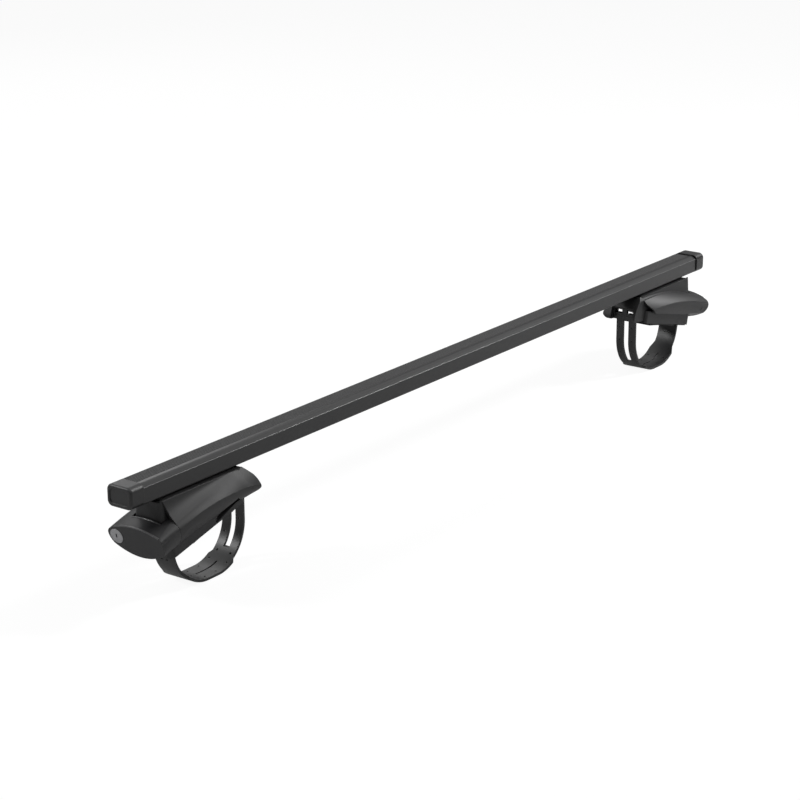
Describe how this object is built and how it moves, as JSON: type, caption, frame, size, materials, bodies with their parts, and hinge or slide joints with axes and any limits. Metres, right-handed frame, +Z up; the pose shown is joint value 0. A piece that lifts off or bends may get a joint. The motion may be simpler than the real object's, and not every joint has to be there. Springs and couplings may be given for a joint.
{
  "type": "roof rack crossbar",
  "caption": "Coated square-tube roof crossbar with capped ends, held on raised roof rails by clamp feet with lockable sliding covers and hooked tension straps.",
  "frame": {"origin": "middle of the bar's top face", "axes": "+X along the bar towards the right end, +Y across the bar, level, +Z up, square to the bar's top face"},
  "size_m": [1.19, 0.082, 0.1385],
  "materials": {
    "coated_bar": "satin black plastic coating, faintly grained",
    "cap_plastic": "satin black",
    "foot_plastic": "fine-grained black",
    "cover_plastic": "fine-grained black",
    "coated_strap": "satin black coating",
    "rubber": "matte black",
    "zinc": "satin zinc",
    "steel": "zinc plated"
  },
  "bodies": {
    "bar": {"crossbar": "coated_bar", "left_end_cap": "cap_plastic", "left_foot_body": "foot_plastic", "left_rail_pad": "rubber", "left_bar_seat": "rubber", "left_clamp_plate": "steel", "left_clamp_bolts": "steel", "left_clamp_washers": "steel", "left_screw_washer": "steel", "right_end_cap": "cap_plastic", "right_foot_body": "foot_plastic", "right_rail_pad": "rubber", "right_bar_seat": "rubber", "right_clamp_plate": "steel", "right_clamp_bolts": "steel", "right_clamp_washers": "steel", "right_screw_washer": "steel"},
    "left_cover": {"left_cover": "cover_plastic", "left_lock_barrel": "zinc"},
    "left_lock": {"left_lock_cylinder": "zinc", "left_lock_cam": "steel"},
    "left_strap": {"left_strap": "coated_strap", "left_strap_carriage": "steel", "left_strap_rivets": "steel"},
    "left_screw": {"left_tension_screw": "steel"},
    "right_cover": {"right_cover": "cover_plastic", "right_lock_barrel": "zinc"},
    "right_lock": {"right_lock_cylinder": "zinc", "right_lock_cam": "steel"},
    "right_strap": {"right_strap": "coated_strap", "right_strap_carriage": "steel", "right_strap_rivets": "steel"},
    "right_screw": {"right_tension_screw": "steel"}
  },
  "joints": [
    {"name": "left_cover_slide", "type": "slide", "parent": "bar", "child": "left_cover", "axis": [-0.9703, 0, -0.2419], "range_m": [0, 0.09]},
    {"name": "left_lock_turn", "type": "hinge", "parent": "left_cover", "child": "left_lock", "pos_m": [-0.5594, 0.0293, -0.06519], "axis": [-0.9703, 0, -0.2419], "range_deg": [0, 90]},
    {"name": "left_screw_turn", "type": "hinge", "parent": "bar", "child": "left_screw", "pos_m": [-0.55697, 0, -0.06252], "axis": [0.2419, 0, -0.9703], "range_deg": [0, 2160]},
    {"name": "left_strap_draw", "type": "slide", "parent": "bar", "child": "left_strap", "axis": [-0.2419, 0, 0.9703], "range_m": [0, 0.006]},
    {"name": "right_cover_slide", "type": "slide", "parent": "bar", "child": "right_cover", "axis": [0.9703, 0, -0.2419], "range_m": [0, 0.09]},
    {"name": "right_lock_turn", "type": "hinge", "parent": "right_cover", "child": "right_lock", "pos_m": [0.5594, -0.0293, -0.06519], "axis": [0.9703, 0, -0.2419], "range_deg": [0, 90]},
    {"name": "right_screw_turn", "type": "hinge", "parent": "bar", "child": "right_screw", "pos_m": [0.55697, 0, -0.06252], "axis": [-0.2419, 0, -0.9703], "range_deg": [0, 2160]},
    {"name": "right_strap_draw", "type": "slide", "parent": "bar", "child": "right_strap", "axis": [0.2419, 0, 0.9703], "range_m": [0, 0.006]}
  ],
  "couplings": [
    {"joint": "left_screw_turn", "follows": "left_strap_draw", "rad_per_m": 6283.2},
    {"joint": "right_screw_turn", "follows": "right_strap_draw", "rad_per_m": 6283.2}
  ]
}
